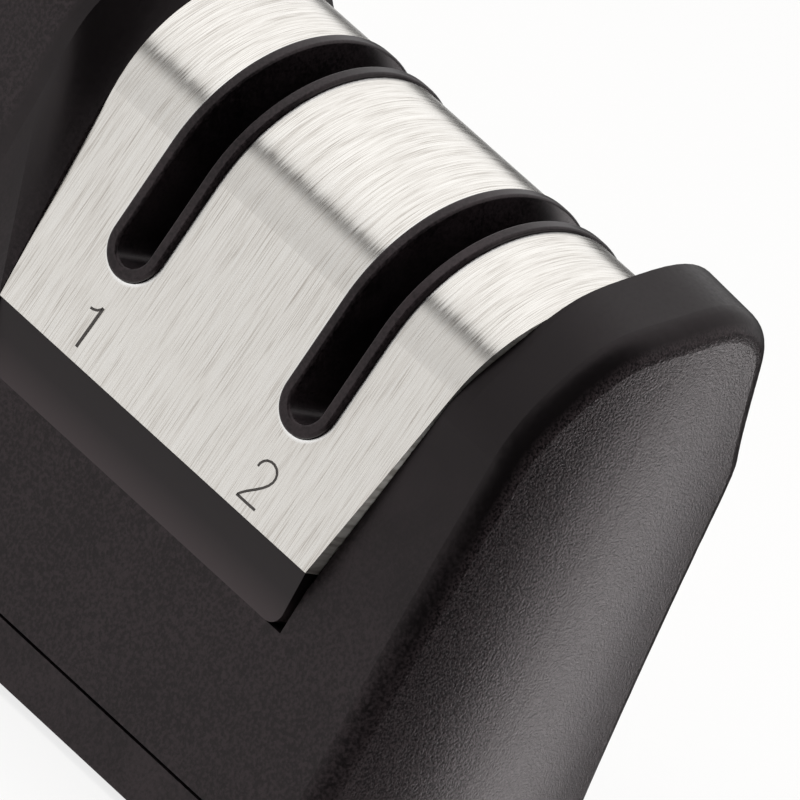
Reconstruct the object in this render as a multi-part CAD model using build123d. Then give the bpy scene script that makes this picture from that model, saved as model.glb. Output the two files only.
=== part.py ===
# Two-stage pull through knife sharpener: a black moulded body with a grip at the left (-X),
# a brushed steel saddle over the head, and two arched slots that guide a blade down onto
# pairs of bevelled wheels. Slot 1 holds coarse diamond wheels, slot 2 fine ceramic wheels.
# Millimetres. +X runs along the body to the end cheek, +Y to the back, +Z up.
# The origin lies under the middle of the body, on the surface it stands on.
import math
import os

from build123d import *

# Overall. Heights are taken from the underside of the base, which the feet hold off the table.
body_length = 190.0
foot_proud = 1.0
base_height = 5.1
parting_gap = 0.3
wall = 2.4
overrun = 5.0  # how far a cutting shape runs past what it cuts
full_turn = 360
quarter_turn = full_turn // 4
halfway = 0.5  # along an edge

# Saddle, seen from the end: two leaning flats joined by an arch
saddle_lean = 8.4
saddle_radius = 16.0
saddle_height = 64.5
saddle_foot_height = 28.9
saddle_foot_half_width = 24.0
saddle_flare = 6.8  # degrees that each side leans out
steel_thickness = 0.6
steel_flange = 3.2
fit_gap = 0.1

# Lower body and end cheek
body_foot_half_depth = 19.4
body_lean = 4.1
deck_height = 22.2
cheek_reach = 42.5  # outermost point of the cheek, from the middle of the head
cheek_waist_in = 3.4
cheek_head_in = 4.4
cheek_bulge_radius = 62.0
cheek_edge_round = 2.6
cheek_shoulder_height = 48.5
cheek_land = 4.6  # how far the inner outline runs straight on before the crown falls
cheek_near_height = 69.0
cheek_far_height = 68.4
# The crown from front to back: shares of the half depth, and of the rise above the shoulder.
# It climbs slowly from the front and drops away steeply behind its summit.
cheek_near_shares = (
    (-0.785, 0.434),
    (-0.528, 0.732),
    (-0.239, 0.878),
    (0.22, 1.0),
    (0.54, 0.893),
    (0.672, 0.693),
    (0.892, 0.302),
)
cheek_far_shares = (
    (-0.873, 0.457),
    (-0.616, 0.739),
    (-0.289, 0.879),
    (0.22, 1.0),
    (0.54, 0.894),
    (0.685, 0.698),
    (0.905, 0.312),
)

# Grip. Each station is a share of the grip's length, of its depth and of its height.
collar_land = 8.4  # from the steel's lower corner out to the grip's ridge, along X
grip_belly_height = 46.0
grip_height = 69.5
grip_half_depth = 17.8
grip_foot_share = 1.09
grip_crown_shares = ((0.94, 0.46), (0.76, 0.65))
grip_station_shares = (
    (0.0, 1.0, 1.0),
    (0.1, 0.99, 0.965),
    (0.31, 0.93, 0.80),
    (0.57, 0.88, 0.69),
    (0.83, 0.91, 0.66),
    (1.0, 0.87, 0.61),
)
grip_end_round = 8.0
cap_step = 18  # degrees between two sections of the rounded end

# Slots and their raised-lip guides
slot_gap = 4.3
slot_lip = 1.35
slot_lip_proud = 0.4
slot_lip_lead = 0.2  # the guides sit this far forward, so that they stand proudest in front
slot_lip_round = 0.3
slot_end_height = 37.8
slot_guide_depth = 5.5
guide_flange = 1.2
guide_flange_thickness = 1.4
carrier_wall = 2.0
sill_set_back = 0.2
sill_corner_round = 2.0

# Wheels, axles and cartridge frames
wheel_radius = 11.0
wheel_axis_height = 35.0
wheel_back = 4.0
wheel_vee_radius = 6.0
wheel_bevel = 20.0
wheel_vee_clearance = 0.15
grit_notches = 12
grit_notch_width = 0.8
grit_notch_depth = 0.4
hub_radius = 3.0
hub_half_length = 4.6
axle_radius = 1.5
running_clearance = 0.06
seat_clearance = 0.02
end_play = 0.08
washer_thickness = 0.5
washer_radius = 2.9
ear_thickness = 1.5
ear_half_depth = 4.6
clip_thickness = 0.5
clip_radius = 2.7
clip_groove_depth = 0.4
clip_mouth = 2.0
axle_tail = 0.6
frame_floor = 2.4
frame_half_depth = 14.6
cartridge_clearance = 0.59  # between an axle's outer end and the wall beside it

# Screws
screw_radius = 1.2
screw_head_radius = 2.3
screw_head_height = 1.5
screw_sink = 0.6
screw_bite = 6.0
screw_fit = 0.05
boss_radius = 3.1
frame_screw_y = 12.0
frame_boss_height = 5.0
carrier_boss_height = 8.0
carrier_screw_y = 10.6
beam_width_share = 0.62  # of the room between the two cartridges
beam_height = 6.5
base_screw_y = 12.0
grip_screw_share = 0.72

# Feet
foot_radius = 4.6
foot_recess = 0.9
cheek_foot_inset = 9.5
grip_foot_inset = 19.0
foot_y = 9.2

# Places worked out from the sizes above
parting_z = foot_proud + base_height
deck_z = foot_proud + deck_height
saddle_top = foot_proud + saddle_height
saddle_foot_z = foot_proud + saddle_foot_height
saddle_axis_z = saddle_top - saddle_radius
slot_end_z = foot_proud + slot_end_height
axis_z = foot_proud + wheel_axis_height
lean = math.radians(saddle_lean)
flare = math.radians(saddle_flare)
side_lean = math.radians(body_lean)
saddle_foot_half_depth = (
    saddle_radius * math.cos(lean)
    + (saddle_axis_z + saddle_radius * math.sin(lean) - saddle_foot_z) * math.tan(lean)
)
ridge_x = -saddle_foot_half_width - collar_land
grip_end_x = cheek_reach - body_length
cheek_start_x = saddle_foot_half_width + cheek_land
tall = saddle_height + grip_height
deep = body_foot_half_depth + grip_half_depth
guide_half_width = slot_gap / 2 + slot_lip
bevel_rise = math.tan(math.radians(wheel_bevel))
washer_inner_x = hub_half_length + end_play
ear_inner_x = washer_inner_x + washer_thickness + end_play
ear_outer_x = ear_inner_x + ear_thickness
clip_inner_x = ear_outer_x + end_play
axle_half_length = clip_inner_x + clip_thickness + axle_tail
sheet_inset = steel_thickness + fit_gap
carrier_inset = sheet_inset + carrier_wall
axle_wall_x = saddle_foot_half_width + (axis_z - saddle_foot_z) * math.tan(flare) - carrier_inset
slot_x = axle_wall_x - cartridge_clearance - axle_half_length
slots = {"coarse": -slot_x, "fine": slot_x}
beam_half_width = (slot_x - ear_outer_x) * beam_width_share
well_half_depth = body_foot_half_depth - deck_height * math.tan(side_lean) - wall
cross_x = cheek_start_x + wall
beam_z = deck_z - beam_height
base_head_z = foot_proud + screw_sink
base_seat_z = base_head_z + screw_head_height
grip_post_x = ridge_x + (grip_end_x - ridge_x) * grip_screw_share


def head_half_width(z, inset=0.0):
    # Half the width of the head's opening at a height: its sides spread upwards.
    return saddle_foot_half_width + (z - saddle_foot_z) * math.tan(flare) - inset


def side_half_depth(z):
    # Half the depth of the lower body at a height: its faces lean in upwards.
    return body_foot_half_depth - (z - foot_proud) * math.tan(side_lean)


def slab(x0, x1, y0, y1, z0, z1):
    return Pos((x0 + x1) / 2, (y0 + y1) / 2, (z0 + z1) / 2) * Box(x1 - x0, y1 - y0, z1 - z0)


def rod(radius, x0, x1, y=0.0, z=0.0):
    # A cylinder along X.
    return Pos((x0 + x1) / 2, y, z) * Rot(0, quarter_turn, 0) * Cylinder(radius, x1 - x0)


def post(radius, x, y, z0, z1):
    # A cylinder along Z.
    return Pos(x, y, (z0 + z1) / 2) * Cylinder(radius, z1 - z0)


def saddle_bar(inset, foot_z, half_length):
    # The saddle's end view, offset inwards, drawn out along X.
    radius = saddle_radius - inset
    shoulder_y = radius * math.cos(lean)
    shoulder_z = saddle_axis_z + radius * math.sin(lean)
    foot_y_here = shoulder_y + (shoulder_z - foot_z) * math.tan(lean)
    outline = [
        Line((-foot_y_here, foot_z), (-shoulder_y, shoulder_z)),
        ThreePointArc((-shoulder_y, shoulder_z), (0, saddle_axis_z + radius), (shoulder_y, shoulder_z)),
        Line((shoulder_y, shoulder_z), (foot_y_here, foot_z)),
        Line((foot_y_here, foot_z), (-foot_y_here, foot_z)),
    ]
    return extrude(Plane.YZ * make_face(outline), amount=half_length, both=True)


def head_wedge(inset, z0, z1, corner_round=0.0):
    # The head's front view, a trapezoid with spreading sides, drawn out along Y.
    low = head_half_width(z0, inset)
    high = head_half_width(z1, inset)
    face = make_face(Polyline((-low, z0), (low, z0), (high, z1), (-high, z1), close=True))
    if corner_round:
        face = fillet(face.vertices().group_by(Axis.Y)[0], corner_round)
    return extrude(Plane.XZ * face, amount=deep, both=True)


def slot_bar(x, half_width, end_z):
    # A round-ended slot seen from the front, open at the top, drawn out along Y.
    face = Pos(x, end_z + half_width) * Circle(half_width)
    height = tall - end_z - half_width
    face += Pos(x, end_z + half_width + height / 2) * Rectangle(2 * half_width, height)
    return extrude(Plane.XZ * face, amount=deep, both=True)


def arch_wire(foot, side_top, climb, summit, rise):
    # A closed outline, the same front and back: straight sides, then one curve over the summit.
    # rise is the curve's direction where it leaves the front side.
    def back(point):
        return Vector(point.X, -point.Y, point.Z)

    over = Spline(
        side_top,
        *climb,
        summit,
        *[back(point) for point in reversed(climb)],
        back(side_top),
        tangents=(rise, Vector(-rise.X, rise.Y, -rise.Z)),
    )
    return Wire(
        [Line(foot, side_top), over, Line(back(side_top), back(foot)), Line(back(foot), foot)]
    )


def grip_outline(x, depth_share, height_share, inset):
    # One section of the grip: sides that lean in up to the belly, then a rounded crown.
    half_depth = grip_half_depth * depth_share - inset
    top_z = foot_proud + grip_height * height_share - inset
    belly_z = foot_proud + grip_belly_height * (top_z - foot_proud) / grip_height
    crown_rise = top_z - belly_z
    foot = Vector(x, inset - grip_half_depth * depth_share * grip_foot_share, foot_proud)
    belly = Vector(x, -half_depth, belly_z)
    climb = [Vector(x, -half_depth * out, belly_z + crown_rise * up) for out, up in grip_crown_shares]
    return arch_wire(foot, belly, climb, Vector(x, 0, top_z), (belly - foot).normalized())


def collar_mouth(inset):
    # The grip's right end, where it meets the steel: the saddle's outline on the leaning side.
    def seat(y, z):
        return Vector(-head_half_width(z, -fit_gap - inset), y, z)

    radius = saddle_radius - inset
    haunch = radius * math.sin(math.radians(quarter_turn / 2))
    steel_foot = seat(inset - saddle_foot_half_depth, saddle_foot_z)
    shoulder = seat(-radius * math.cos(lean), saddle_axis_z + radius * math.sin(lean))
    return arch_wire(
        seat(inset - body_foot_half_depth, foot_proud),
        steel_foot,
        [shoulder, seat(-haunch, saddle_axis_z + haunch)],
        seat(0, saddle_axis_z + radius),
        (shoulder - steel_foot).normalized(),
    )


def grip(inset):
    # The grip as one smooth loft, and a rounded cap that closes its left end.
    start_x = ridge_x - inset
    cap_x = grip_end_x + grip_end_round
    bend = grip_end_round - inset
    sections = [
        grip_outline(start_x + (cap_x - start_x) * along, depth, height, inset)
        for along, depth, height in grip_station_shares
    ]
    end_shares = grip_station_shares[-1][1:]
    cap = []
    for degrees in range(0, quarter_turn + 1, cap_step):
        turn = math.radians(degrees)
        cap.append(
            grip_outline(cap_x - bend * math.sin(turn), *end_shares, inset + bend * (1 - math.cos(turn)))
        )
    return Part() + Solid.make_loft(sections) + Solid.make_loft(cap)


def collar(inset):
    # From the ridge down to the steel's left edge: the slanted wall that frames it.
    ridge = grip_outline(ridge_x - inset, *grip_station_shares[0][1:], inset)
    return Part() + Solid.make_loft([ridge, collar_mouth(inset)], True)


def cheek_face(x, height, crown_shares, inset):
    # One section of the cheek: leaning sides, then one curve over the crown.
    shoulder_z = foot_proud + cheek_shoulder_height
    half_depth = side_half_depth(shoulder_z) - inset
    rise = foot_proud + height - inset - shoulder_z
    foot = (-body_foot_half_depth + inset, foot_proud)
    shoulder = (-half_depth, shoulder_z)
    up_lean = (math.sin(side_lean), math.cos(side_lean))
    crown = Spline(
        shoulder,
        *[(half_depth * across, shoulder_z + rise * up) for across, up in crown_shares],
        (half_depth, shoulder_z),
        tangents=(up_lean, (up_lean[0], -up_lean[1])),
    )
    sides = [Line(foot, shoulder), Line((half_depth, shoulder_z), (-foot[0], foot_proud))]
    face = make_face([*sides, crown, Line(foot, (-foot[0], foot_proud))])
    return Plane.YZ.offset(x) * face


def cheek(inset):
    # The end cheek: its crown flattens and falls a little towards the end face.
    near = (cheek_near_height, cheek_near_shares, inset)
    far = (cheek_far_height, cheek_far_shares, inset)
    neck_x = saddle_foot_half_width - fit_gap
    shape = extrude(cheek_face(neck_x, *near), amount=cheek_start_x - neck_x)
    shape += loft([cheek_face(cheek_start_x, *near), cheek_face(cheek_reach, *far)], ruled=True)
    return shape


def end_barrel(inset):
    # Trims the cheek's end: bulging in plan, slightly hollow from foot to head.
    top_z = foot_proud + cheek_near_height + overrun
    foot = (cheek_bulge_radius - inset, foot_proud - overrun)
    waist = (cheek_bulge_radius - cheek_waist_in - inset, (foot_proud + top_z) / 2)
    head = (cheek_bulge_radius - cheek_head_in - inset, top_z)
    profile = [
        Line((0, foot[1]), foot),
        ThreePointArc(foot, waist, head),
        Line(head, (0, head[1])),
        Line((0, head[1]), (0, foot[1])),
    ]
    middle = Plane((cheek_reach - cheek_bulge_radius, 0, 0), (-1, 0, 0), (0, 1, 0))
    return revolve(middle * make_face(profile), Axis(middle.origin, (0, 0, 1)))


def lower_block(x0, x1, z0, z1, inset):
    # A length of the lower body, leaning in at front and back.
    low = side_half_depth(z0) - inset
    high = side_half_depth(z1) - inset
    face = make_face(Polyline((-low, z0), (low, z0), (high, z1), (-high, z1), close=True))
    return extrude(Plane.YZ.offset(x0) * face, amount=x1 - x0)


def body_outside():
    # The whole outer form, from the underside of the base up.
    head = cheek(0.0)
    head += lower_block(-saddle_foot_half_width, saddle_foot_half_width, foot_proud, deck_z, 0.0)
    head &= end_barrel(0.0)
    end_face = head.faces().sort_by(Axis.X)[-1]
    head = fillet(end_face.edges().sort_by(Axis.Z)[1:], cheek_edge_round)
    head -= head_wedge(-fit_gap, deck_z, tall)
    return grip(0.0) + collar(0.0) + head


def body_inside():
    # The hollows: grip, collar, cheek, and the well under the head. The walls beside the well
    # follow the head's sides, and are thick enough low down to hold the base screws.
    well_x = head_half_width(deck_z, carrier_inset)
    well = lower_block(-well_x, well_x, foot_proud, deck_z, wall)
    kept_x = well_x + 2 * boss_radius
    kept = head_wedge(-fit_gap - wall, 0, tall) + slab(-kept_x, kept_x, -deep, deep, 0, deck_z)
    return [grip(wall), collar(wall) - kept, well, (cheek(wall) & end_barrel(wall)) - kept]


def base_screw_places():
    # Four screws into the walls beside the well, and one into the grip's post.
    wall_x = head_half_width(deck_z, carrier_inset) + boss_radius
    corners = [(x, y) for x in (-wall_x, wall_x) for y in (-base_screw_y, base_screw_y)]
    return [*corners, (grip_post_x, 0)]


def screw(x, y, head_z, grip_through):
    # A pan head screw driven upwards, from its head's underside.
    seat_z = head_z + screw_head_height
    head = post(screw_head_radius, x, y, head_z, seat_z)
    return head + post(screw_radius, x, y, seat_z, seat_z + grip_through)


def housing(outside, hollows):
    # The moulded body above the parting line.
    shape = outside - slab(grip_end_x - overrun, cheek_reach + overrun, -deep, deep, 0, parting_z)
    for hollow in hollows:
        shape -= hollow
    beam = lower_block(-beam_half_width, beam_half_width, beam_z, deck_z, wall / 2)
    grip_post = post(boss_radius, grip_post_x, 0, parting_z, tall) & grip(wall / 2)
    shape = shape + beam + grip_post
    for x, y in base_screw_places():
        shape -= post(screw_radius + seat_clearance, x, y, parting_z, parting_z + screw_bite + wall)
    for side in (-1, 1):
        shape -= post(screw_radius + screw_fit, 0, side * carrier_screw_y, beam_z - overrun, deck_z)
    return shape


def foot_places():
    xs = (grip_end_x + grip_foot_inset, cheek_reach - cheek_foot_inset)
    return [(x, y) for x in xs for y in (-foot_y, foot_y)]


def base_plate(outside, hollows):
    # The plate below the parting line, dished inside and recessed for the screws and the feet.
    top_z = parting_z - parting_gap
    shape = outside & slab(grip_end_x - overrun, cheek_reach + overrun, -deep, deep, 0, top_z)
    above_floor = slab(grip_end_x, cheek_reach, -deep, deep, foot_proud + wall, tall)
    for hollow in hollows:
        shape -= hollow & above_floor
    shape += post(boss_radius, grip_post_x, 0, foot_proud, top_z)
    for x, y in base_screw_places():
        shape -= post(screw_radius + screw_fit, x, y, foot_proud, parting_z)
        shape -= post(screw_head_radius + screw_fit, x, y, 0, base_seat_z)
    for x, y in foot_places():
        shape -= post(foot_radius + screw_fit, x, y, 0, foot_proud + foot_recess)
    return shape


def feet():
    return [post(foot_radius, x, y, 0, foot_proud + foot_recess) for x, y in foot_places()]


def steel_cover():
    # A pressed sheet: saddle, flanges turned in at both sides, and the two slots.
    half_length = cross_x
    cover = saddle_bar(0.0, saddle_foot_z, half_length) & head_wedge(0.0, saddle_foot_z, tall)
    cover -= saddle_bar(steel_thickness, saddle_foot_z - overrun, half_length) & head_wedge(
        steel_thickness, saddle_foot_z - overrun, tall
    )
    cover -= saddle_bar(steel_flange, saddle_foot_z - overrun, half_length)
    for x in slots.values():
        cover -= slot_bar(x, guide_half_width + fit_gap, slot_end_z - fit_gap)
    return cover


def guide_carrier():
    # The black moulding under the steel. Its lower edge shows as a sill at front and back.
    low_z = saddle_foot_z - fit_gap
    block = saddle_bar(sheet_inset, low_z, cross_x) & head_wedge(sheet_inset, low_z, tall)
    sill_top = saddle_foot_half_depth - sill_set_back
    sill_foot = side_half_depth(deck_z)
    right_side = ((sill_foot, deck_z), (sill_top, low_z))
    left_side = ((-sill_top, low_z), (-sill_foot, deck_z))
    sill_face = make_face(Polyline(*right_side, *left_side, close=True))
    sill = extrude(Plane.YZ * sill_face, amount=cross_x, both=True)
    block += sill & head_wedge(fit_gap, deck_z, low_z, sill_corner_round)
    inside = saddle_bar(carrier_inset, deck_z - overrun, cross_x)
    inside &= head_wedge(carrier_inset, deck_z - overrun, tall)
    inside &= slab(-cross_x, cross_x, -well_half_depth, well_half_depth, 0, tall)
    block -= inside
    bosses = [(x, frame_screw_y, frame_boss_height) for x in slots.values()]
    bosses.append((0, carrier_screw_y, carrier_boss_height))
    for x, screw_y, height in bosses:
        for side in (-1, 1):
            block += post(boss_radius, x, side * screw_y, deck_z, deck_z + height)
            reach = sorted((side * screw_y, side * (well_half_depth + wall / 2)))
            block += slab(x - boss_radius, x + boss_radius, *reach, deck_z, deck_z + height)
            block -= post(screw_radius + seat_clearance, x, side * screw_y, 0, deck_z + height - wall / 2)
    for x in slots.values():
        block -= slot_bar(x, guide_half_width + fit_gap, slot_end_z - fit_gap)
    return block


def lip_rims(ring):
    # The lip's edges outside the steel, without the seams between its own faces.
    steel = saddle_bar(0.0, saddle_foot_z, cross_x)
    edges = ring.edges().filter_by(Axis.X, reverse=True)
    return [edge for edge in edges if not steel.is_inside(edge @ halfway)]


def slot_guide(x):
    # A ring that follows the arch: a lip proud of the steel, and a flange under the carrier.
    low_z = slot_end_z - overrun
    ring = Pos(0, -slot_lip_lead, 0) * saddle_bar(-slot_lip_proud, low_z, cross_x)
    ring -= saddle_bar(slot_guide_depth, low_z, cross_x)
    ring &= slot_bar(x, guide_half_width, slot_end_z)
    ring -= slot_bar(x, slot_gap / 2, slot_end_z + slot_lip)
    ring = fillet(lip_rims(ring), slot_lip_round)
    under = carrier_inset + fit_gap
    flange = saddle_bar(under, low_z, cross_x) - saddle_bar(under + guide_flange_thickness, low_z, cross_x)
    flange &= slot_bar(x, guide_half_width + guide_flange, slot_end_z - guide_flange)
    return ring + (flange - slot_bar(x, slot_gap / 2, slot_end_z + slot_lip))


def cartridge_frame(x):
    # A floor with two ears that carry the axle.
    low_z = deck_z - frame_floor
    shape = slab(x - ear_outer_x, x + ear_outer_x, -frame_half_depth, frame_half_depth, low_z, deck_z)
    for side in (-1, 1):
        ear = sorted((x + side * ear_inner_x, x + side * ear_outer_x))
        shape += slab(*ear, -ear_half_depth, ear_half_depth, low_z, axis_z)
        shape += rod(ear_half_depth, *ear, z=axis_z)
        shape -= post(screw_radius + screw_fit, x, side * frame_screw_y, 0, deck_z)
    return shape - rod(axle_radius + seat_clearance, x - cross_x, x + cross_x, z=axis_z)


def axle(x):
    # A plain pin with a groove near each end for its clip.
    shape = rod(axle_radius, x - axle_half_length, x + axle_half_length, z=axis_z)
    for side in (-1, 1):
        groove = sorted(
            (
                x + side * (clip_inner_x - seat_clearance),
                x + side * (clip_inner_x + clip_thickness + seat_clearance),
            )
        )
        ring = rod(axle_radius + overrun, *groove, z=axis_z)
        shape -= ring - rod(axle_radius - clip_groove_depth, *groove, z=axis_z)
    return shape


def axle_clips(x):
    # Two open clips, mouth down.
    clips = []
    for side in (-1, 1):
        span = sorted((x + side * clip_inner_x, x + side * (clip_inner_x + clip_thickness)))
        clip = rod(clip_radius, *span, z=axis_z)
        clip -= rod(axle_radius - clip_groove_depth + seat_clearance, *span, z=axis_z)
        clip -= slab(*span, -clip_mouth / 2, clip_mouth / 2, axis_z - clip_radius, axis_z)
        clips.append(clip)
    return clips


def axle_washers(x):
    washers = []
    for side in (-1, 1):
        span = sorted((x + side * washer_inner_x, x + side * (washer_inner_x + washer_thickness)))
        washers.append(
            rod(washer_radius, *span, z=axis_z) - rod(axle_radius + seat_clearance, *span, z=axis_z)
        )
    return washers


def hub(x):
    # The sleeve that the two wheels are pressed on.
    span = (x - hub_half_length, x + hub_half_length)
    return rod(hub_radius, *span, z=axis_z) - rod(axle_radius + running_clearance, *span, z=axis_z)


def wheel(x, side, notches):
    # One bevelled wheel: its cone faces the other wheel, and a notched rim clears the swarf.
    bore = hub_radius + seat_clearance
    rim_x = wheel_vee_clearance + (wheel_radius - wheel_vee_radius) * bevel_rise
    profile = Polyline(
        (wheel_vee_clearance, bore),
        (wheel_vee_clearance, wheel_vee_radius),
        (rim_x, wheel_radius),
        (wheel_back, wheel_radius),
        (wheel_back, bore),
        close=True,
    )
    shape = revolve(Plane.XY * make_face(profile), Axis.X)
    for count in range(notches):
        notch = Pos(0, 0, wheel_radius) * Box(2 * cross_x, grit_notch_width, 2 * grit_notch_depth)
        shape -= Rot(full_turn * count / notches, 0, 0) * notch
    if side < 0:
        shape = mirror(shape, Plane.YZ)
    return Pos(x, 0, axis_z) * shape


def build():
    outside = body_outside()
    hollows = body_inside()
    parts = {
        "housing": [housing(outside, hollows)],
        "base_plate": [base_plate(outside, hollows)],
        "rubber_feet": feet(),
        "base_screws": [
            screw(x, y, base_head_z, parting_z + screw_bite - base_seat_z) for x, y in base_screw_places()
        ],
        "steel_cover": [steel_cover()],
        "guide_carrier": [guide_carrier()],
        "carrier_screws": [
            screw(0, side * carrier_screw_y, beam_z - screw_head_height, beam_height + screw_bite)
            for side in (-1, 1)
        ],
    }
    for name, x in slots.items():
        frame_head_z = deck_z - frame_floor - screw_head_height
        notches = grit_notches if name == "coarse" else 0
        parts[f"{name}_slot_guide"] = [slot_guide(x)]
        parts[f"{name}_cartridge_frame"] = [cartridge_frame(x)]
        parts[f"{name}_frame_screws"] = [
            screw(x, side * frame_screw_y, frame_head_z, frame_floor + frame_boss_height - wall)
            for side in (-1, 1)
        ]
        parts[f"{name}_axle"] = [axle(x)]
        parts[f"{name}_axle_clips"] = axle_clips(x)
        parts[f"{name}_washers"] = axle_washers(x)
        parts[f"{name}_hub"] = [hub(x)]
        parts[f"{name}_left_wheel"] = [wheel(x, -1, notches)]
        parts[f"{name}_right_wheel"] = [wheel(x, 1, notches)]
    return outside, parts


outside, parts = build()
box = outside.bounding_box()
middle = Pos(-(box.min.X + box.max.X) / 2, 0, 0)
os.makedirs("parts", exist_ok=True)
for name, solids in parts.items():
    placed = [middle * solid for solid in solids]
    export_step(placed[0] if len(placed) == 1 else Compound(children=placed), f"parts/{name}.step")
print("head centre at x", round(-(box.min.X + box.max.X) / 2, 4))
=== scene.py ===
import math

import bmesh
import bpy
from mathutils import Matrix, Vector


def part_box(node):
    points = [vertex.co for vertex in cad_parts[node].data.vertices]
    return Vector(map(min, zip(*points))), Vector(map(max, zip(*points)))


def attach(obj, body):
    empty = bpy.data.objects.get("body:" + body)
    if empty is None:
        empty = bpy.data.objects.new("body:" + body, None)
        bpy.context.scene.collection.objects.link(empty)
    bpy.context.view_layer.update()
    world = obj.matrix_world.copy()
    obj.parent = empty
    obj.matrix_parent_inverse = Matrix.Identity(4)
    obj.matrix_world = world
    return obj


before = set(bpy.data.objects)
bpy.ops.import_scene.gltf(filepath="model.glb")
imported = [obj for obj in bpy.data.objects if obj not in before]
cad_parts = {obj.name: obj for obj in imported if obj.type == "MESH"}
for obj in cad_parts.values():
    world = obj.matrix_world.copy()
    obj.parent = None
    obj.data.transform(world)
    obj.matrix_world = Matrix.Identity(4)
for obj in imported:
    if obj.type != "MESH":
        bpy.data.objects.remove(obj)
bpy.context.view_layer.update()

millimetre = 0.001
print("frame loaded: %d nodes" % len(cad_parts))

# Where the head and its slots stand, from the slots' own guides
guideBoxes = [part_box("coarse_slot_guide"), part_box("fine_slot_guide")]
slotPlaces = [(low.x + high.x) / 2 for low, high in guideBoxes]
headX = sum(slotPlaces) / len(slotPlaces)
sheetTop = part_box("steel_cover")[1].z


# Colours and nodes
def linearFromHex(hexText):
    # sRGB hex to the linear numbers that the shaders want
    values = [int(hexText[i:i + 2], 16) / 255 for i in (0, 2, 4)]
    linear = [v / 12.92 if v <= 0.04045 else ((v + 0.055) / 1.055) ** 2.4 for v in values]
    return (*linear, 1.0)


def addNode(tree, kind, values=None, links=None, stops=None, **settings):
    # values and links go by socket name or number; stops are a colour ramp's (place, hex) pairs
    node = tree.nodes.new(kind)
    for name, value in settings.items():
        setattr(node, name, value)
    for key, value in (values or {}).items():
        node.inputs[key].default_value = value
    for key, source in (links or {}).items():
        tree.links.new(source if hasattr(source, "links") else source.outputs[0], node.inputs[key])
    if stops:
        elements = node.color_ramp.elements
        elements[0].position, elements[0].color = stops[0][0], linearFromHex(stops[0][1])
        elements[1].position, elements[1].color = stops[-1][0], linearFromHex(stops[-1][1])
        for place, hexText in stops[1:-1]:
            elements.new(place).color = linearFromHex(hexText)
    return node


def newMaterial(name):
    material = bpy.data.materials.new(name)
    material.use_nodes = True
    tree = material.node_tree
    tree.nodes.clear()
    output = tree.nodes.new("ShaderNodeOutputMaterial")
    return material, tree, output


def perMillimetre(pitch):
    # a texture scale that repeats about once in this many millimetres
    return 1.0 / (pitch * millimetre)


# Moulded black ABS. Spark erosion of the mould leaves a soft leathery grain on the long faces and
# a tighter, deeper one on the end cheek. The band around the steel is smooth. It reads as a warm
# near black with a soft sheen. On the end cheek the grain's palest specks are a painted glint.
# Pitches and heights are in mm.
absPlastic = {
    "deep": "070506",
    "worn": "241e20",
    "smoothDeep": "060405",
    "paintedGlint": "2e2829",
    "flankStops": (0.43, 0.60),  # noise values at which the colours stand, darkest first
    "bandStops": (0.35, 0.7),
    "endStops": (0.40, 0.52, 0.66),
    "ior": 1.37,  # bulk ABS has about 1.54, and the grain's gloss matched lower
    "sheen": "fff0f2",
    "flankPitch": 0.42,
    "endPitch": 0.27,
    "smoothPitch": 0.30,
    "blotchPitch": 9.0,
    "flankNoise": {"Detail": 3.0, "Roughness": 0.62},
    "endNoise": {"Detail": 2.0, "Roughness": 0.7},
    "blotchNoise": {"Detail": 4.0},
    "flankHeight": 0.034,
    "endHeight": 0.060,
    "smoothHeight": 0.0012,
    "roughness": (0.36, 0.48),
    "smoothRoughness": (0.30, 0.36),
    "endRoughness": 0.29,
    "grainSpan": (0.3, 0.7),  # noise values between which the roughness runs
    "grainShare": (0.85, 0.1),  # of the colour that follows the grain, on the flanks and the band
    "endFacing": (0.72, 0.93),  # how squarely a face turns to +X where the end grain fades in
    "deckHeight": 23.2,
    "bandBlend": 30.0,
    "collarEnd": -33.6,
    "collarBlend": 1.2,
}
smallMoulding = {
    "grainNoise": {"Detail": 3.0, "Roughness": 0.6},
    "blotchNoise": {"Detail": 4.0, "Roughness": 0.55},
    "grainShare": 0.6,
    "stops": (0.42, 0.60),
}


def grainyPlastic(name, pitch, height, roughness, deep=absPlastic["deep"], worn=absPlastic["worn"]):
    material, tree, output = newMaterial(name)
    place = addNode(tree, "ShaderNodeTexCoord").outputs["Object"]
    cells = addNode(
        tree, "ShaderNodeTexNoise", {"Scale": perMillimetre(pitch), **smallMoulding["grainNoise"]},
        {"Vector": place},
    )
    wide = addNode(
        tree, "ShaderNodeTexNoise",
        {"Scale": perMillimetre(absPlastic["blotchPitch"]), **smallMoulding["blotchNoise"]},
        {"Vector": place},
    )
    speckled = addNode(
        tree, "ShaderNodeMix", {"Factor": smallMoulding["grainShare"]}, {"A": wide, "B": cells}
    )
    colour = addNode(
        tree, "ShaderNodeValToRGB", links={"Fac": speckled},
        stops=list(zip(smallMoulding["stops"], (deep, worn))),
    )
    sheen = addNode(
        tree, "ShaderNodeMapRange",
        {"From Min": absPlastic["grainSpan"][0], "From Max": absPlastic["grainSpan"][1],
         "To Min": roughness[0], "To Max": roughness[1]},
        {"Value": cells},
    )
    bump = addNode(
        tree, "ShaderNodeBump", {"Strength": 1.0, "Distance": height * millimetre}, {"Height": cells}
    )
    shader = addNode(
        tree, "ShaderNodeBsdfPrincipled",
        {"IOR": absPlastic["ior"], "Specular Tint": linearFromHex(absPlastic["sheen"])},
        {"Base Color": colour, "Roughness": sheen, "Normal": bump},
    )
    tree.links.new(shader.outputs["BSDF"], output.inputs["Surface"])
    return material


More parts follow.
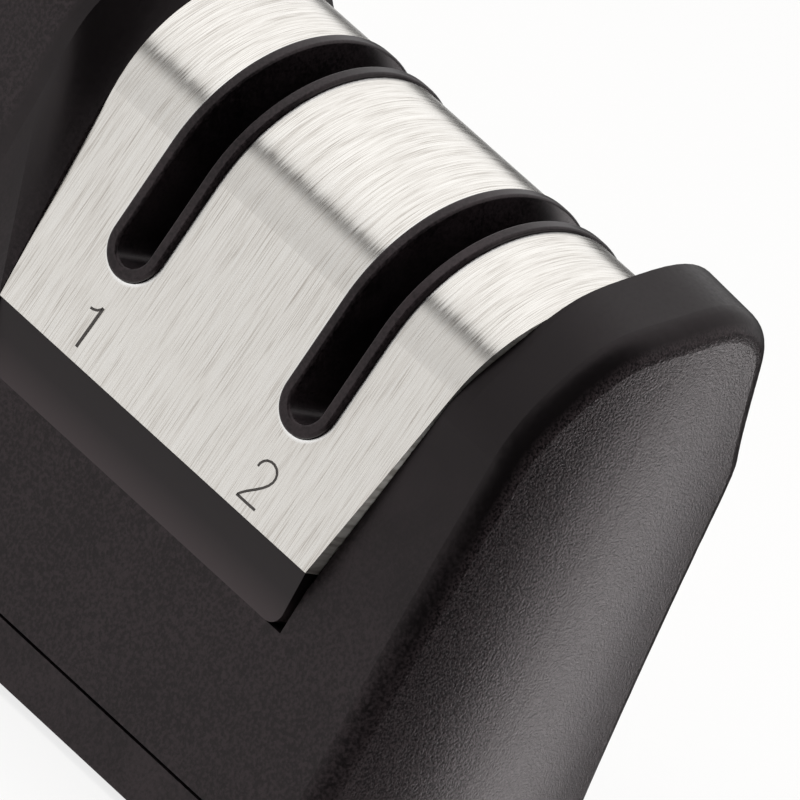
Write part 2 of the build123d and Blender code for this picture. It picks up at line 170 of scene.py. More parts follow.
def mouldedBody():
    material, tree, output = newMaterial("spark eroded ABS")
    coords = addNode(tree, "ShaderNodeTexCoord")
    place, facing = coords.outputs["Object"], coords.outputs["Normal"]
    split = addNode(tree, "ShaderNodeSeparateXYZ", links={0: place})
    sides = addNode(tree, "ShaderNodeSeparateXYZ", links={0: facing})
    # how much of each point lies on the end cheek's face
    endFace = addNode(
        tree, "ShaderNodeMapRange",
        {"From Min": absPlastic["endFacing"][0], "From Max": absPlastic["endFacing"][1]},
        {"Value": sides.outputs["X"]},
    )
    # the smooth band: above the deck, from the steel out to the cheek's edge or to the collar's ridge
    aboveDeck = addNode(
        tree, "ShaderNodeMapRange",
        {"From Min": absPlastic["deckHeight"] * millimetre,
         "From Max": (absPlastic["deckHeight"] + absPlastic["bandBlend"]) * millimetre},
        {"Value": split.outputs["Z"]},
    )
    beforeRidge = addNode(
        tree, "ShaderNodeMapRange",
        {"From Min": headX + (absPlastic["collarEnd"] - absPlastic["collarBlend"]) * millimetre,
         "From Max": headX + absPlastic["collarEnd"] * millimetre},
        {"Value": split.outputs["X"]},
    )
    band = addNode(
        tree, "ShaderNodeMath", links={0: aboveDeck, 1: beforeRidge}, operation="MULTIPLY"
    )
    flankCells = addNode(
        tree, "ShaderNodeTexNoise",
        {"Scale": perMillimetre(absPlastic["flankPitch"]), **absPlastic["flankNoise"]},
        {"Vector": place},
    )
    endCells = addNode(
        tree, "ShaderNodeTexNoise",
        {"Scale": perMillimetre(absPlastic["endPitch"]), **absPlastic["endNoise"]},
        {"Vector": place},
    )
    wide = addNode(
        tree, "ShaderNodeTexNoise",
        {"Scale": perMillimetre(absPlastic["blotchPitch"]), **absPlastic["blotchNoise"]},
        {"Vector": place},
    )
    # the grain's crests rub paler, except on the smooth band
    crest = addNode(
        tree, "ShaderNodeMapRange",
        {"To Min": absPlastic["grainShare"][0], "To Max": absPlastic["grainShare"][1]},
        {"Value": band},
    )
    speckled = addNode(tree, "ShaderNodeMix", links={"Factor": crest, "A": wide, "B": flankCells})
    flankColour = addNode(
        tree, "ShaderNodeValToRGB", links={"Fac": speckled},
        stops=list(zip(absPlastic["flankStops"], (absPlastic["deep"], absPlastic["worn"]))),
    )
    bandColour = addNode(
        tree, "ShaderNodeValToRGB", links={"Fac": wide},
        stops=list(zip(absPlastic["bandStops"], (absPlastic["smoothDeep"], absPlastic["deep"]))),
    )
    # the end cheek's grain: dark and worn specks, with the palest specks a painted glint on the crests
    endColour = addNode(
        tree, "ShaderNodeValToRGB", links={"Fac": endCells},
        stops=list(zip(
            absPlastic["endStops"],
            (absPlastic["smoothDeep"], absPlastic["worn"], absPlastic["paintedGlint"]),
        )),
    )
    longSides = addNode(
        tree, "ShaderNodeMixRGB", links={0: band, 1: flankColour, 2: bandColour}
    )
    colour = addNode(tree, "ShaderNodeMixRGB", links={0: endFace, 1: longSides, 2: endColour})
    # grain depth: soft on the flanks, nearly none on the band, deepest on the end face
    flankDepth = addNode(
        tree, "ShaderNodeMapRange",
        {"To Min": absPlastic["flankHeight"], "To Max": absPlastic["smoothHeight"]}, {"Value": band},
    )
    calm = addNode(tree, "ShaderNodeMath", {0: 1.0}, {1: endFace}, operation="SUBTRACT")
    flankGrain = addNode(
        tree, "ShaderNodeMath", links={0: flankCells, 1: flankDepth}, operation="MULTIPLY"
    )
    flankPart = addNode(tree, "ShaderNodeMath", links={0: flankGrain, 1: calm}, operation="MULTIPLY")
    endGrain = addNode(
        tree, "ShaderNodeMath", {1: absPlastic["endHeight"]}, {0: endCells}, operation="MULTIPLY"
    )
    endPart = addNode(tree, "ShaderNodeMath", links={0: endGrain, 1: endFace}, operation="MULTIPLY")
    height = addNode(tree, "ShaderNodeMath", links={0: flankPart, 1: endPart}, operation="ADD")
    bump = addNode(
        tree, "ShaderNodeBump", {"Strength": 1.0, "Distance": millimetre}, {"Height": height}
    )
    rough = addNode(
        tree, "ShaderNodeMapRange",
        {"From Min": absPlastic["grainSpan"][0], "From Max": absPlastic["grainSpan"][1],
         "To Min": absPlastic["roughness"][0], "To Max": absPlastic["roughness"][1]},
        {"Value": flankCells},
    )
    finish = addNode(
        tree, "ShaderNodeMix", {"B": absPlastic["endRoughness"]}, {"Factor": endFace, "A": rough}
    )
    shader = addNode(
        tree, "ShaderNodeBsdfPrincipled",
        {"IOR": absPlastic["ior"], "Specular Tint": linearFromHex(absPlastic["sheen"])},
        {"Base Color": colour, "Roughness": finish, "Normal": bump},
    )
    tree.links.new(shader.outputs["BSDF"], output.inputs["Surface"])
    return material


bodyAbs = mouldedBody()
leatheryAbs = grainyPlastic(
    "leathery ABS", absPlastic["flankPitch"], absPlastic["flankHeight"], absPlastic["roughness"]
)
satinAbs = grainyPlastic(
    "satin ABS", absPlastic["smoothPitch"], absPlastic["smoothHeight"], absPlastic["smoothRoughness"]
)
sillAbs = grainyPlastic(
    "satin ABS sill", absPlastic["smoothPitch"], absPlastic["smoothHeight"],
    absPlastic["smoothRoughness"],
)


# Painted light and shade on the sill: its colour is paler along its rounded lower edge, a painted
# highlight where that edge turns to the light, and black close under the steel, a painted shadow.
# Heights are in mm.
sillPaintedShading = {
    "low": 23.2,
    "high": 29.8,
    "stops": [(0.0, "312a2c"), (0.2, "272122"), (0.55, "0b0809"), (0.93, "040303"), (0.97, "000000")],
}


def shadeSill(material):
    tree = material.node_tree
    shader = next(node for node in tree.nodes if node.type == "BSDF_PRINCIPLED")
    place = addNode(tree, "ShaderNodeTexCoord").outputs["Object"]
    height = addNode(tree, "ShaderNodeSeparateXYZ", links={0: place}).outputs["Z"]
    rise = addNode(
        tree, "ShaderNodeMapRange",
        {"From Min": sillPaintedShading["low"] * millimetre, "From Max": sillPaintedShading["high"] * millimetre},
        {"Value": height},
    )
    # painted highlight low on the sill, running up into painted shadow under the steel
    colour = addNode(tree, "ShaderNodeValToRGB", links={"Fac": rise}, stops=sillPaintedShading["stops"])
    tree.links.new(colour.outputs[0], shader.inputs["Base Color"])


shadeSill(sillAbs)
# Small mouldings inside and below: acetal is dull and waxy, nylon a paler grey, and rubber soft
# and without shine. Grain pitch and height in mm, roughness, darkest and palest colour.
innerMouldings = {
    "matt acetal": (0.5, 0.01, (0.5, 0.6), "121212", "1a1a1a"),
    "grey nylon": (0.6, 0.01, (0.45, 0.55), "2e2e2d", "3a3a38"),
    "soft rubber": (0.8, 0.02, (0.7, 0.85), "111111", "1a1a1a"),
}
mattFrame, nylonHub, footRubber = (
    grainyPlastic(name, *look) for name, look in innerMouldings.items()
)


# Brushed stainless sheet. A belt drawn along the arch leaves fine scratches of uneven length:
# sharp reflections along them, wide and soft across them. Along the slots the colour pales in a
# painted highlight on their rolled burrs.
brushedSheet = {
    "light": "efece7",
    "mid": "dcd8d2",
    "dark": "b4aea7",
    "toneStops": (0.37, 0.47, 0.58),  # noise values at which dark, mid and light stand
    "scratches": ((0.09, 9.0), (0.24, 5.0)),  # width and length in mm, fine and broad
    "scratchNoise": {"Scale": 1.0, "Detail": 3.0, "Roughness": 0.65},
    "broadShare": 0.35,
    "weave": 0.055,
    "lean": 0.048,
    "roughness": (0.17, 0.26),
    "roughSpan": (0.35, 0.65),
    "spread": 0.85,
    "spreadTurn": 0.25,  # a quarter turn lays the highlight across the scratches
    "sideRoughness": 0.62,
    "sideFacing": (0.4, 0.8),
    "slotHalf": 3.6,  # the slots' cut edges and their burr, in mm
    "slotCentre": 42.3,
    "burrStart": 0.1,
    "burr": 0.4,
    "bright": "fbfaf8",
}


def brushedSteel():
    material, tree, output = newMaterial("brushed stainless sheet")
    coords = addNode(tree, "ShaderNodeTexCoord")
    place, facing = coords.outputs["Object"], coords.outputs["Normal"]
    scratches = []
    for width, length in brushedSheet["scratches"]:
        stretched = addNode(
            tree, "ShaderNodeMapping",
            {"Scale": (perMillimetre(width), perMillimetre(length), perMillimetre(length))},
            {"Vector": place},
        )
        scratches.append(
            addNode(
                tree, "ShaderNodeTexNoise", brushedSheet["scratchNoise"], {"Vector": stretched}
            )
        )
    both = addNode(
        tree, "ShaderNodeMix", {"Factor": brushedSheet["broadShare"]},
        {"A": scratches[0], "B": scratches[1]},
    ).outputs["Result"]
    colour = addNode(
        tree, "ShaderNodeValToRGB", links={"Fac": both},
        stops=list(zip(
            brushedSheet["toneStops"],
            (brushedSheet["dark"], brushedSheet["mid"], brushedSheet["light"]),
        )),
    )
    # distance from the slots' cut edges: straight runs up the arch, and a round lower end
    spot = addNode(tree, "ShaderNodeSeparateXYZ", links={0: place})
    fromMiddle = addNode(
        tree, "ShaderNodeMath", {1: headX}, {0: spot.outputs["X"]}, operation="SUBTRACT"
    )
    across = addNode(tree, "ShaderNodeMath", links={0: fromMiddle}, operation="ABSOLUTE")
    fromSlot = addNode(
        tree, "ShaderNodeMath", {1: slotPlaces[1] - headX}, {0: across}, operation="SUBTRACT"
    )
    below = addNode(
        tree, "ShaderNodeMath", {0: brushedSheet["slotCentre"] * millimetre}, {1: spot.outputs["Z"]},
        operation="SUBTRACT",
    )
    under = addNode(tree, "ShaderNodeMath", {1: 0.0}, {0: below}, operation="MAXIMUM")
    reach = addNode(tree, "ShaderNodeCombineXYZ", links={0: fromSlot, 2: under})
    away = addNode(tree, "ShaderNodeVectorMath", links={0: reach}, operation="LENGTH").outputs["Value"]
    burr = addNode(
        tree, "ShaderNodeMapRange",
        {"From Min": (brushedSheet["slotHalf"] + brushedSheet["burrStart"]) * millimetre,
         "From Max": (brushedSheet["slotHalf"] + brushedSheet["burr"]) * millimetre,
         "To Min": 1.0, "To Max": 0.0},
        {"Value": away},
    )
    # painted highlight: close to the slots' edges the colour pales to near white, in place of light on the
    # burr
    colour = addNode(
        tree, "ShaderNodeMixRGB", {2: linearFromHex(brushedSheet["bright"])}, {0: burr, 1: colour}
    )
    polish = addNode(
        tree, "ShaderNodeMapRange",
        {"From Min": brushedSheet["roughSpan"][0], "From Max": brushedSheet["roughSpan"][1],
         "To Min": brushedSheet["roughness"][0], "To Max": brushedSheet["roughness"][1]},
        {"Value": both},
    )
    # the belt doesn't reach the turned-in side flanges, which stay matt
    sides = addNode(tree, "ShaderNodeSeparateXYZ", links={0: facing})
    sidePart = addNode(tree, "ShaderNodeMath", links={0: sides.outputs["X"]}, operation="ABSOLUTE")
    flat = addNode(
        tree, "ShaderNodeMapRange",
        {"From Min": brushedSheet["sideFacing"][0], "From Max": brushedSheet["sideFacing"][1],
         "To Min": 1.0, "To Max": 0.0},
        {"Value": sidePart},
    )
    finish = addNode(
        tree, "ShaderNodeMix", {"A": brushedSheet["sideRoughness"]}, {"Factor": flat, "B": polish}
    ).outputs["Result"]
    # each scratch leans the surface a little, sideways and along the arch, so that dark
    # reflections break up into lines
    sideRaw = addNode(
        tree, "ShaderNodeMath", {1: 0.5}, {0: scratches[0]}, operation="SUBTRACT"
    )
    sideways = addNode(tree, "ShaderNodeMath", links={0: sideRaw, 1: flat}, operation="MULTIPLY")
    onRaw = addNode(
        tree, "ShaderNodeMath", {1: 0.5}, {0: scratches[1]}, operation="SUBTRACT"
    )
    onwards = addNode(tree, "ShaderNodeMath", links={0: onRaw, 1: flat}, operation="MULTIPLY")
    along = addNode(
        tree, "ShaderNodeVectorMath", {1: (1, 0, 0)}, {0: facing}, operation="CROSS_PRODUCT"
    )
    sideLean = addNode(
        tree, "ShaderNodeVectorMath", {0: (2 * brushedSheet["weave"], 0, 0)}, {"Scale": sideways},
        operation="SCALE",
    )
    alongScale = addNode(
        tree, "ShaderNodeMath", {1: 2 * brushedSheet["lean"]}, {0: onwards}, operation="MULTIPLY"
    )
    alongLean = addNode(
        tree, "ShaderNodeVectorMath", links={0: along, "Scale": alongScale}, operation="SCALE"
    )
    leaning = addNode(
        tree, "ShaderNodeVectorMath", links={0: facing, 1: sideLean}, operation="ADD"
    )
    leaned = addNode(
        tree, "ShaderNodeVectorMath", links={0: leaning, 1: alongLean}, operation="ADD"
    )
    unit = addNode(tree, "ShaderNodeVectorMath", links={0: leaned}, operation="NORMALIZE")
    worldNormal = addNode(
        tree, "ShaderNodeVectorTransform", links={0: unit}, vector_type="NORMAL",
        convert_from="OBJECT", convert_to="WORLD",
    )
    belt = addNode(tree, "ShaderNodeTangent", direction_type="RADIAL", axis="X")
    shader = addNode(
        tree, "ShaderNodeBsdfPrincipled",
        {"Metallic": 1.0, "Anisotropic": brushedSheet["spread"],
         "Anisotropic Rotation": brushedSheet["spreadTurn"]},
        {"Base Color": colour, "Roughness": finish, "Normal": worldNormal, "Tangent": belt},
    )
    tree.links.new(shader.outputs["BSDF"], output.inputs["Surface"])
    return material


# Small metal parts: zinc plate is pale and a little cloudy, ground steel brighter and sharper,
# both with faint tool marks. Colour and roughness, and the marks' pitch and height in mm.
smallMetal = {
    "zinc": ("zinc plated steel", "b9b9b4", 0.3),
    "ground": ("ground steel", "c4c4c2", 0.18),
    "marks": {"Scale": perMillimetre(0.3), "Detail": 2.0},
    "markHeight": 0.004,
}


def turnedMetal(name, hexText, roughness):
    material, tree, output = newMaterial(name)
    place = addNode(tree, "ShaderNodeTexCoord").outputs["Object"]
    marks = addNode(tree, "ShaderNodeTexNoise", smallMetal["marks"], {"Vector": place})
    bump = addNode(
        tree, "ShaderNodeBump", {"Strength": 1.0, "Distance": smallMetal["markHeight"] * millimetre},
        {"Height": marks},
    )
    shader = addNode(
        tree, "ShaderNodeBsdfPrincipled",
        {"Base Color": linearFromHex(hexText), "Metallic": 1.0, "Roughness": roughness},
        {"Normal": bump},
    )
    tree.links.new(shader.outputs["BSDF"], output.inputs["Surface"])
    return material


# Abrasive wheels: packed grains that glint where they are plated, and stay dull where fired.
# Darkest and palest colour, grain width in mm, roughness, metallic.
abrasive = {
    "diamond": ("diamond plated steel", "242322", "5a5956", 0.35, 0.45, 0.8),
    "ceramic": ("fired ceramic", "3a3632", "544e48", 0.3, 0.7, 0.0),
    "stops": (0.1, 0.8),
    "grainHeight": 0.05,
    "grainStrength": 0.8,
}


def gritCoat(name, dark, light, grit, roughness, metallic):
    material, tree, output = newMaterial(name)
    place = addNode(tree, "ShaderNodeTexCoord").outputs["Object"]
    grains = addNode(
        tree, "ShaderNodeTexVoronoi", {"Scale": perMillimetre(grit)}, {"Vector": place}
    )
    colour = addNode(
        tree, "ShaderNodeValToRGB", links={"Fac": grains},
        stops=list(zip(abrasive["stops"], (light, dark))),
    )
    bump = addNode(
        tree, "ShaderNodeBump",
        {"Strength": abrasive["grainStrength"], "Distance": abrasive["grainHeight"] * millimetre},
        {"Height": grains}, invert=True,
    )
    shader = addNode(
        tree, "ShaderNodeBsdfPrincipled", {"Metallic": metallic, "Roughness": roughness},
        {"Base Color": colour, "Normal": bump},
    )
    tree.links.new(shader.outputs["BSDF"], output.inputs["Surface"])
    return material


stainless = brushedSteel()
zincPlate = turnedMetal(*smallMetal["zinc"])
groundSteel = turnedMetal(*smallMetal["ground"])
diamondCoat = gritCoat(*abrasive["diamond"])
firedCeramic = gritCoat(*abrasive["ceramic"])
print("materials made")

# Finishes of the frame's pieces; screws, clips and what else isn't named are zinc plated
finishes = {
    "housing": bodyAbs,
    "base_plate": leatheryAbs,
    "rubber_feet": footRubber,
    "steel_cover": stainless,
    "guide_carrier": sillAbs,
}
for stage, grit in (("coarse", diamondCoat), ("fine", firedCeramic)):
    finishes[stage + "_slot_guide"] = satinAbs
    finishes[stage + "_cartridge_frame"] = mattFrame
    finishes[stage + "_axle"] = groundSteel
    finishes[stage + "_washers"] = groundSteel
    finishes[stage + "_hub"] = nylonHub
    finishes[stage + "_left_wheel"] = grit
    finishes[stage + "_right_wheel"] = grit
for name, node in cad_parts.items():
    node.data.materials.clear()
    node.data.materials.append(finishes.get(name, zincPlate))
print("finishes assigned")

# The stage numbers, printed in thin strokes on the steel's front flat below the slots.
# Places are millimetres from the middle of the head, across and up.
numerals = {
    "ink": "2b2725",
    "thinInk": "4a4542",
    "inkStops": (0.3, 0.75),
    "inkRoughness": 0.55,
    "specks": {"Scale": perMillimetre(0.12), "Detail": 2.0},
    "thickness": 0.03,
    "lean": 8.4,  # degrees that the steel's front flat leans back
    "radius": 16.0,  # of the steel's arch
    "one": [
        ([(-14.25, 34.85), (-13.85, 34.9), (-13.38, 35.08), (-12.93, 35.5)], 0.26),
        ([(-12.93, 35.62), (-12.98, 33.4), (-13.06, 31.15)], 0.36),
    ],
    "two": [
        (
            [(12.45, 34.38), (12.5, 34.75), (12.68, 35.08), (13.0, 35.36), (13.5, 35.52), (14.0, 35.52),
             (14.5, 35.34), (14.86, 35.02), (15.02, 34.6), (15.0, 34.16), (14.8, 33.7), (14.42, 33.2),
             (13.8, 32.6), (13.05, 31.95), (12.55, 31.45), (12.32, 31.12)],
            0.25,
        ),
        ([(12.22, 31.08), (13.6, 31.07), (15.06, 31.08)], 0.27),
    ],
}


def onFlat(across, height, proud):
    # a point on the steel's leaning front flat, a little proud of it
    slope = math.radians(numerals["lean"])
    radius = numerals["radius"] * millimetre
    springZ = sheetTop - radius + radius * math.sin(slope)
    depth = radius * math.cos(slope) + (springZ - height * millimetre) * math.tan(slope)
    face = Vector((headX + across * millimetre, -depth, height * millimetre))
    return face + Vector((0, -math.cos(slope), math.sin(slope))) * proud * millimetre


def printStroke(mesh, points, width):
    # a flat ribbon of even width along the points, with square ends and a printed thickness
    rings = []
    for index, (across, height) in enumerate(points):
        before, after = points[max(index - 1, 0)], points[min(index + 1, len(points) - 1)]
        run = Vector((after[0] - before[0], after[1] - before[1])).normalized()
        side = Vector((-run.y, run.x)) * width / 2
        ring = []
        for sign, proud in ((1, 0.0), (1, 1.0), (-1, 1.0), (-1, 0.0)):
            spot = onFlat(across + sign * side.x, height + sign * side.y, proud * numerals["thickness"])
            ring.append(mesh.verts.new(spot))
        rings.append(ring)
    for first, second in zip(rings, rings[1:]):
        for i in range(4):
            mesh.faces.new((first[i], first[(i + 1) % 4], second[(i + 1) % 4], second[i]))
    mesh.faces.new(rings[0][::-1])
    mesh.faces.new(rings[-1])


def printedInk():
    # screen printed ink is matt, and a little thinner in specks
    material, tree, output = newMaterial("screen printed ink")
    place = addNode(tree, "ShaderNodeTexCoord").outputs["Object"]
    specks = addNode(tree, "ShaderNodeTexNoise", numerals["specks"], {"Vector": place})
    colour = addNode(
        tree, "ShaderNodeValToRGB", links={"Fac": specks},
        stops=list(zip(numerals["inkStops"], (numerals["ink"], numerals["thinInk"]))),
    )
    shader = addNode(
        tree, "ShaderNodeBsdfPrincipled", {"Roughness": numerals["inkRoughness"]},
        {"Base Color": colour},
    )
    tree.links.new(shader.outputs["BSDF"], output.inputs["Surface"])
    return material


ink = printedInk()
for key in ("one", "two"):
    mesh = bmesh.new()
    for points, width in numerals[key]:
        printStroke(mesh, points, width)
    bmesh.ops.recalc_face_normals(mesh, faces=mesh.faces)
    data = bpy.data.meshes.new("numeral_" + key)
    mesh.to_mesh(data)
    mesh.free()
    data.materials.append(ink)
    piece = bpy.data.objects.new("numeral_" + key, data)
    bpy.context.collection.objects.link(piece)
    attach(piece, "body")
print("numerals printed")

# Floor: pale paper, white to the camera, with the soft shadow kept. Gloss sees it lit on the left
# and dark elsewhere, apart from one bright card that lies beside the end cheek and puts the soft
# highlight on the cheek's face. Sides are directions, and fades the cosines to them.
white = (1, 1, 1, 1)
floorSetup = {
    "size": 12.0,
    "albedo": "e8e6e3",
    "lift": 0.8,  # the part of the camera's view of it that is plain white
    "glossTone": 0.98,
    "darkTone": 0.03,
    "turn": 0.09,  # metres right of the head, where the lit sector has its point
}
endCard = {
    "side": (0.515, 0.857, 0.0),
    "fade": (0.95, 0.998),
    "tone": 5.6,
    "reach": 0.042,  # metres right of the head, where the card has its point
    "length": (0.25, 0.45),
}
litSide = (-0.985, -0.174, 0.0)
litFade = (0.42, 0.66)
floorMesh = bmesh.new()
bmesh.ops.create_grid(floorMesh, x_segments=1, y_segments=1, size=floorSetup["size"] / 2)
floorData = bpy.data.meshes.new("floor")
floorMesh.to_mesh(floorData)
floorMesh.free()
floor = bpy.data.objects.new("floor", floorData)
bpy.context.collection.objects.link(floor)
floorPaint, tree, output = newMaterial("pale paper")
diffuse = addNode(tree, "ShaderNodeBsdfDiffuse", {"Color": linearFromHex(floorSetup["albedo"])})
glow = addNode(tree, "ShaderNodeEmission", {"Color": white, "Strength": 1.0})
rays = addNode(tree, "ShaderNodeLightPath")
share = addNode(
    tree, "ShaderNodeMath", {1: floorSetup["lift"]}, {0: rays.outputs["Is Camera Ray"]},
    operation="MULTIPLY",
)
seen = addNode(tree, "ShaderNodeMixShader", links={0: share, 1: diffuse, 2: glow})
spot = addNode(tree, "ShaderNodeTexCoord").outputs["Object"]
fromHead = addNode(
    tree, "ShaderNodeVectorMath", {1: (headX + floorSetup["turn"], 0, 0)}, {0: spot},
    operation="SUBTRACT",
)
wayOut = addNode(tree, "ShaderNodeVectorMath", links={0: fromHead}, operation="NORMALIZE")
towards = addNode(
    tree, "ShaderNodeVectorMath", {1: litSide}, {0: wayOut}, operation="DOT_PRODUCT"
).outputs["Value"]
tone = addNode(
    tree, "ShaderNodeMapRange",
    {"From Min": litFade[0], "From Max": litFade[1], "To Min": floorSetup["darkTone"],
     "To Max": floorSetup["glossTone"]},
    {"Value": towards}, interpolation_type="SMOOTHSTEP",
)
fromEnd = addNode(
    tree, "ShaderNodeVectorMath", {1: (headX + endCard["reach"], 0, 0)}, {0: spot},
    operation="SUBTRACT",
)
wayEnd = addNode(tree, "ShaderNodeVectorMath", links={0: fromEnd}, operation="NORMALIZE")
towardsCard = addNode(
    tree, "ShaderNodeVectorMath", {1: endCard["side"]}, {0: wayEnd}, operation="DOT_PRODUCT"
).outputs["Value"]
cardTone = addNode(
    tree, "ShaderNodeMapRange",
    {"From Min": endCard["fade"][0], "From Max": endCard["fade"][1], "To Min": 0.0,
     "To Max": endCard["tone"]},
    {"Value": towardsCard}, interpolation_type="SMOOTHSTEP",
)
cardLength = addNode(
    tree, "ShaderNodeVectorMath", links={0: fromEnd}, operation="LENGTH"
).outputs["Value"]
cardEnd = addNode(
    tree, "ShaderNodeMapRange",
    {"From Min": endCard["length"][0], "From Max": endCard["length"][1], "To Min": 1.0, "To Max": 0.0},
    {"Value": cardLength},
)
card = addNode(tree, "ShaderNodeMath", links={0: cardTone, 1: cardEnd}, operation="MULTIPLY")
brightest = addNode(tree, "ShaderNodeMath", links={0: tone, 1: card}, operation="MAXIMUM")
mirrored = addNode(tree, "ShaderNodeEmission", {"Color": white}, {"Strength": brightest})
mirrorRays = addNode(
    tree, "ShaderNodeMath",
    links={0: rays.outputs["Is Glossy Ray"], 1: rays.outputs["Is Transmission Ray"]},
    operation="MAXIMUM",
)
blend = addNode(tree, "ShaderNodeMixShader", links={0: mirrorRays, 1: seen, 2: mirrored})
tree.links.new(blend.outputs[0], output.inputs["Surface"])
floorData.materials.append(floorPaint)
print("floor laid")

# Studio: white paper for the camera. Gloss sees lit paper low on the left, a dark gap above it,
# then the lit ceiling, which starts lower behind, and black flags over the front right.
studio = {
    "room": 0.55,  # the even light that matt surfaces get
    "paperTone": 0.98,
    "paperEnd": (0.29, 0.44),
    "darkTone": 0.10,
    "ceilingTone": 1.2,
    "ceilingFront": (0.44, 0.49),
    "ceilingBack": (0.19, 0.25),
    "ceilingTurn": (-0.15, 0.15),
    "flagSide": (0.616, -0.788, 0.0),
    "flag": (0.30, 0.55),
    "frontWall": (0.50, 0.80),
    "frontDark": 0.01,
    "frontTone": 0.1,
    "backWall": (0.0, 0.3),
    "backTone": 0.6,
    "cardSide": (-0.616, 0.788, 0.0),
    "card": (0.84, 0.93),
    "cardTone": 0.05,
}
world = bpy.data.worlds.new("studio")
bpy.context.scene.world = world
world.use_nodes = True
tree = world.node_tree
tree.nodes.clear()
output = tree.nodes.new("ShaderNodeOutputWorld")
direction = addNode(tree, "ShaderNodeTexCoord").outputs["Generated"]
rays = addNode(tree, "ShaderNodeLightPath")
axes = addNode(tree, "ShaderNodeSeparateXYZ", links={0: direction})
upwards, backwards = axes.outputs["Z"], axes.outputs["Y"]
facings = {}
for key, side in (("lit", litSide), ("flag", studio["flagSide"]), ("card", studio["cardSide"])):
    facings[key] = addNode(
        tree, "ShaderNodeVectorMath", {1: side}, {0: direction}, operation="DOT_PRODUCT"
    ).outputs["Value"]
# each smooth step of tone: what it follows, its limits, and the tones below and above them
steps = {}
for key, source, limits, lowTone, highTone in (
    ("paper", upwards, studio["paperEnd"], studio["paperTone"], studio["darkTone"]),
    ("paperSide", facings["lit"], litFade, 0.0, 1.0),
    ("behind", backwards, studio["ceilingTurn"], 0.0, 1.0),
    ("ceilingFront", upwards, studio["ceilingFront"], 0.0, studio["ceilingTone"]),
    ("ceilingBack", upwards, studio["ceilingBack"], 0.0, studio["ceilingTone"]),
    ("flag", facings["flag"], studio["flag"], 1.0, 0.0),
    ("backWall", backwards, studio["backWall"], 0.0, studio["backTone"]),
    ("card", facings["card"], studio["card"], 1.0, studio["cardTone"]),
    ("frontWall", facings["flag"], studio["frontWall"], studio["frontDark"], studio["frontTone"]),
):
    steps[key] = addNode(
        tree, "ShaderNodeMapRange",
        {"From Min": limits[0], "From Max": limits[1], "To Min": lowTone, "To Max": highTone},
        {"Value": source}, interpolation_type="SMOOTHSTEP",
    )
paperPart = addNode(
    tree, "ShaderNodeMath", links={0: steps["paper"], 1: steps["paperSide"]}, operation="MULTIPLY"
)
ceiling = addNode(
    tree, "ShaderNodeMix",
    links={"Factor": steps["behind"], "A": steps["ceilingFront"], "B": steps["ceilingBack"]},
)
column = addNode(tree, "ShaderNodeMath", links={0: paperPart, 1: ceiling}, operation="MAXIMUM")
shaded = addNode(tree, "ShaderNodeMath", links={0: column, 1: steps["flag"]}, operation="MULTIPLY")
# weaker walls in front and behind, with a dark card at the back left
backWall = addNode(
    tree, "ShaderNodeMath", links={0: steps["backWall"], 1: steps["card"]}, operation="MULTIPLY"
)
walls = addNode(
    tree, "ShaderNodeMath", links={0: backWall, 1: steps["frontWall"]}, operation="MAXIMUM"
)
glossTone = addNode(tree, "ShaderNodeMath", links={0: shaded, 1: walls}, operation="MAXIMUM")
mirrorTone = addNode(tree, "ShaderNodeBackground", {"Color": white}, {"Strength": glossTone})
roomTone = addNode(tree, "ShaderNodeBackground", {"Color": white, "Strength": studio["room"]})
paper = addNode(tree, "ShaderNodeBackground", {"Color": white, "Strength": 1.0})
mirrorRays = addNode(
    tree, "ShaderNodeMath",
    links={0: rays.outputs["Is Glossy Ray"], 1: rays.outputs["Is Transmission Ray"]},
    operation="MAXIMUM",
)
lit = addNode(tree, "ShaderNodeMixShader", links={0: mirrorRays, 1: roomTone, 2: mirrorTone})
surround = addNode(
    tree, "ShaderNodeMixShader", links={0: rays.outputs["Is Camera Ray"], 1: lit, 2: paper}
)
tree.links.new(surround.outputs[0], output.inputs["Surface"])

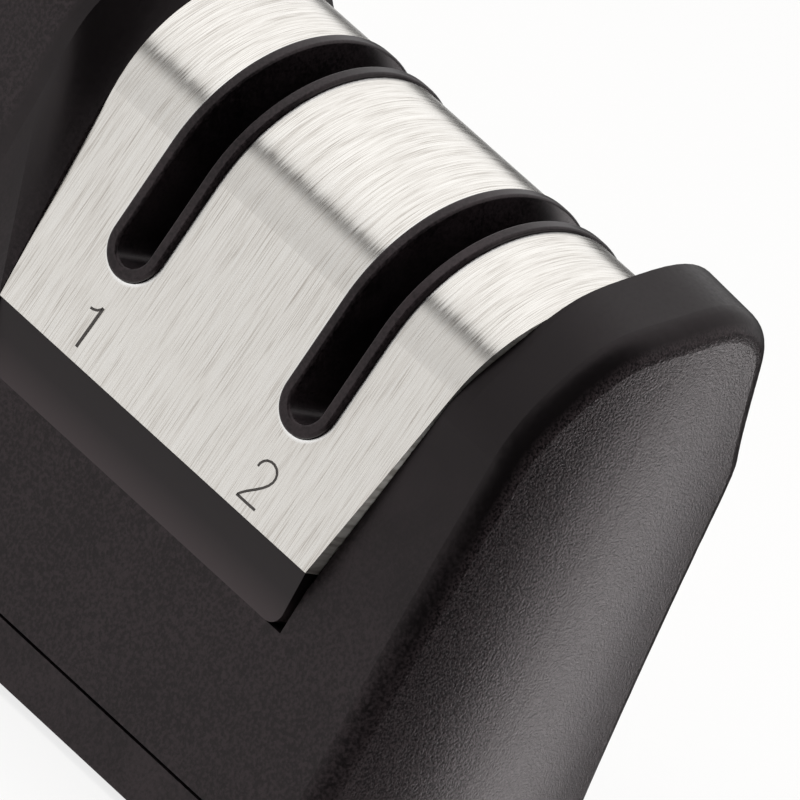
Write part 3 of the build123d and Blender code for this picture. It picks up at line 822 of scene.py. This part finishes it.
# Soft boxes light the matt surfaces, and gloss doesn't see them. Azimuth 0 stands in front of
# the object and grows towards +X.
softBoxes = {
    "distance": 0.9,
    "aim": Vector((headX, 0, 0.04)),
    "boxes": (  # name, azimuth and elevation in degrees, width and height in metres, watts
        ("left box", -45, 42, 0.9, 0.7, 4.0),
        ("top box", -70, 75, 0.8, 0.8, 3.0),
        ("right back box", 140, 35, 0.6, 0.6, 2.0),
    ),
}
for name, azimuth, elevation, width, height, watts in softBoxes["boxes"]:
    turn, rise = math.radians(azimuth), math.radians(elevation)
    away = Vector((math.sin(turn) * math.cos(rise), -math.cos(turn) * math.cos(rise), math.sin(rise)))
    data = bpy.data.lights.new(name, "AREA")
    data.shape = "RECTANGLE"
    data.size, data.size_y, data.energy = width, height, watts
    lamp = bpy.data.objects.new(name, data)
    lamp.location = softBoxes["aim"] + away * softBoxes["distance"]
    lamp.rotation_mode = "QUATERNION"
    lamp.rotation_quaternion = away.to_track_quat("Z", "Y")
    lamp.visible_camera = False
    lamp.visible_glossy = False
    bpy.context.collection.objects.link(lamp)
print("studio set")

# Camera: the photograph's long lens, rolled, looking at the head from the front right
fitScale = 1.08  # the camera was fitted to a head drawn this much smaller
footRise = 1.0  # its feet lift the body by this much
shot = {
    "azimuth": 37.98,
    "elevation": 17.12,
    "roll": 29.05,
    "aim": (20.03 * fitScale + headX / millimetre, -15 * fitScale, 43.46 * fitScale + footRise),
    "distance": 2250.0,
    "pixelsPerMillimetre": 11.63 / fitScale,
    "framePixels": 800,
    "sensorWidth": 36.0,
    "nearest": 0.1,
    "farthest": 50.0,
}
azimuth, elevation, roll = (math.radians(shot[key]) for key in ("azimuth", "elevation", "roll"))
right = Vector((math.cos(azimuth), math.sin(azimuth), 0))
back = Vector(
    (math.sin(azimuth) * math.cos(elevation), -math.cos(azimuth) * math.cos(elevation), math.sin(elevation))
)
up = back.cross(right)
rolledRight = math.cos(roll) * right + math.sin(roll) * up
rolledUp = -math.sin(roll) * right + math.cos(roll) * up
cameraData = bpy.data.cameras.new("photo camera")
cameraData.sensor_width = shot["sensorWidth"]
cameraData.lens = (
    cameraData.sensor_width * shot["distance"] * shot["pixelsPerMillimetre"] / shot["framePixels"]
)
cameraData.clip_start = shot["nearest"]
cameraData.clip_end = shot["farthest"]
camera = bpy.data.objects.new("photo camera", cameraData)
turned = Matrix((rolledRight, rolledUp, back)).transposed().to_4x4()
target = Vector(shot["aim"]) * millimetre
camera.matrix_world = Matrix.Translation(target + back * shot["distance"] * millimetre) @ turned
bpy.context.collection.objects.link(camera)
bpy.context.scene.camera = camera
bpy.context.scene.view_settings.view_transform = "Standard"
print("camera placed")
